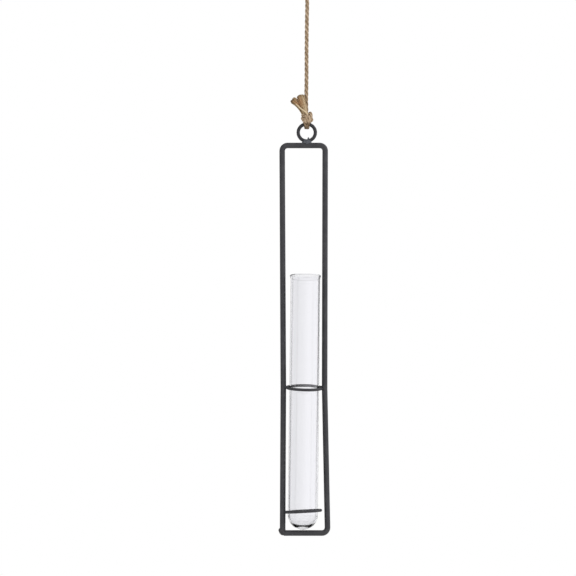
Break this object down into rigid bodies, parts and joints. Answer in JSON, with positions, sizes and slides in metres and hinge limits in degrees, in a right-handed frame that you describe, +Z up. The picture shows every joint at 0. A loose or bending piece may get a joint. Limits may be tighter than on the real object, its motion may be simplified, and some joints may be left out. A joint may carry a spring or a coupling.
{
  "type": "hanging wall vase",
  "caption": "Test-tube vase held by wire hoops in a tall narrow iron frame that hangs from a knotted jute twine; the frame swings and twists and the tube lifts out.",
  "frame": {"origin": "the point inside the twine's upper loop that rests on the hook or nail", "axes": "+Z up along the hanging vase, +X to the vase's right as seen from the front, front faces -Y"},
  "size_m": [0.0434, 0.0312, 0.5014],
  "materials": {
    "blackened_iron": "satin",
    "weld_metal": "satin",
    "clear_glass": "polished",
    "jute": "matte"
  },
  "bodies": {
    "hanger": {"twine_line": "jute", "twine_hook_loop": "jute", "hook_loop_knot": "jute"},
    "tie": {"ring_knot": "jute", "ring_eye": "jute", "left_tail": "jute", "right_tail": "jute"},
    "frame": {"frame_rod": "blackened_iron", "hanging_ring": "blackened_iron", "ring_weld": "weld_metal", "corner_weld": "weld_metal", "middle_hoop": "blackened_iron", "middle_hoop_left_weld": "weld_metal", "middle_hoop_right_weld": "weld_metal", "lower_hoop": "blackened_iron", "lower_hoop_weld": "weld_metal"},
    "tube": {"glass_tube": "clear_glass"}
  },
  "joints": [
    {"name": "twine_twist", "type": "hinge", "parent": "hanger", "child": "tie", "pos_m": [-0.0004, 0, -0.14127], "axis": [0, 0, 1], "range_deg": [-180, 180]},
    {"name": "frame_swing", "type": "hinge", "parent": "tie", "child": "frame", "pos_m": [0, 0, -0.15165], "axis": [1, 0, 0], "range_deg": [-90, 90]},
    {"name": "tube_lift", "type": "slide", "parent": "frame", "child": "tube", "axis": [0.0073, 0, 1], "range_m": [0, 0.1]}
  ]
}
